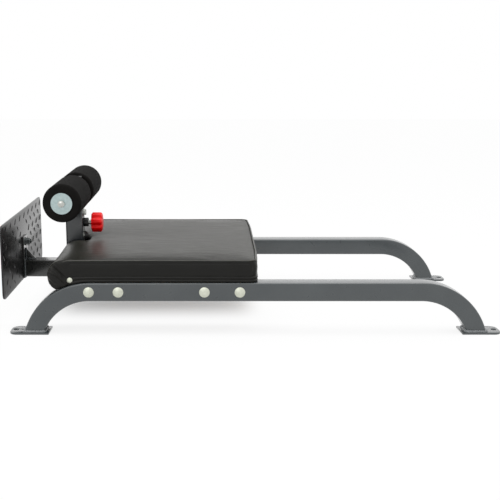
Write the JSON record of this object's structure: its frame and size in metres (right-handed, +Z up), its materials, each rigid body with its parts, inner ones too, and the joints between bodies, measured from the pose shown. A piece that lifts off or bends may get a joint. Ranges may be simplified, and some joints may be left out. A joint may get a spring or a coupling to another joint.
{
  "type": "glute ham developer",
  "caption": "Floor glute ham developer: bent tube side rails, a padded knee board, a height-adjustable foam ankle roller post with a lobed lock knob, and an upright tread plate.",
  "frame": {"origin": "on the floor, midway between the four anchor holes", "axes": "+X along the rails towards the hand end, +Y to the far side, +Z up; the tread plate is at -X"},
  "size_m": [1.3418, 0.666, 0.39],
  "materials": {
    "slate_paint": "semi-gloss slate grey powder coat",
    "tread_gloss": "gloss black over raised tread pattern",
    "zinc": "pale zinc plate",
    "end_washer_zinc": "pale bluish zinc plate",
    "black_plastic": "moulded black plastic",
    "roller_foam": "matt closed-cell foam",
    "red_knob": "glossy red moulded plastic",
    "plywood": "plain plywood",
    "pad_vinyl": "black upholstery vinyl with a fine grain"
  },
  "bodies": {
    "frame": {"near_side_rail": "slate_paint", "far_side_rail": "slate_paint", "near_tread_end_anchor": "slate_paint", "near_hand_end_anchor": "slate_paint", "far_tread_end_anchor": "slate_paint", "far_hand_end_anchor": "slate_paint", "near_front_cross_tube": "slate_paint", "far_front_cross_tube": "slate_paint", "near_rear_cross_tube": "slate_paint", "far_rear_cross_tube": "slate_paint", "near_front_flange": "slate_paint", "far_front_flange": "slate_paint", "near_rear_flange": "slate_paint", "far_rear_flange": "slate_paint", "near_frame_bolts": "zinc", "far_frame_bolts": "zinc", "near_frame_washers": "zinc", "far_frame_washers": "zinc", "near_frame_nuts": "zinc", "far_frame_nuts": "zinc", "spine_tube": "slate_paint", "spine_end_plate": "slate_paint", "spine_gusset": "slate_paint", "spine_end_cap": "black_plastic", "tread_plate": "tread_gloss", "tread_bolt": "zinc", "tread_washer": "zinc", "tread_nut": "zinc", "post_sleeve": "slate_paint", "upper_bushing": "black_plastic", "lower_bushing": "black_plastic", "upper_guide_bolt": "zinc", "lower_guide_bolt": "zinc", "guide_bolt_cap": "black_plastic", "pin_housing": "black_plastic", "pin_spring": "zinc", "pad_board": "plywood", "pad_cushion": "pad_vinyl", "board_bolts": "zinc", "board_tee_nuts": "zinc", "pad_side_screws": "zinc"},
    "ankle_post": {"inner_post": "slate_paint", "post_cap": "black_plastic", "roller_axle": "zinc", "near_axle_collar": "zinc", "far_axle_collar": "zinc", "near_end_washer": "end_washer_zinc", "far_end_washer": "end_washer_zinc", "near_end_bolt": "zinc", "far_end_bolt": "zinc"},
    "near_roller": {"near_foam_roller": "roller_foam", "near_roller_liner": "black_plastic"},
    "far_roller": {"far_foam_roller": "roller_foam", "far_roller_liner": "black_plastic"},
    "lock_pin_body": {"lock_pin": "zinc"},
    "knob_body": {"knob": "red_knob", "knob_insert": "zinc"}
  },
  "joints": [
    {"name": "ankle_post_slide", "type": "slide", "parent": "frame", "child": "ankle_post", "axis": [0, 0, 1], "range_m": [-0.025, 0.05]},
    {"name": "near_roller_spin", "type": "hinge", "parent": "ankle_post", "child": "near_roller", "pos_m": [-0.521, -0.12, 0.337], "axis": [0, 1, 0], "continuous": true},
    {"name": "far_roller_spin", "type": "hinge", "parent": "ankle_post", "child": "far_roller", "pos_m": [-0.521, 0.12, 0.337], "axis": [0, 1, 0], "continuous": true},
    {"name": "lock_pin_slide", "type": "slide", "parent": "frame", "child": "lock_pin_body", "axis": [1, 0, 0], "range_m": [-0.005, 0.002], "deforming": ["pin_spring"]},
    {"name": "knob_turn", "type": "hinge", "parent": "lock_pin_body", "child": "knob_body", "pos_m": [-0.458, 0, 0.246], "axis": [1, 0, 0], "continuous": true}
  ]
}
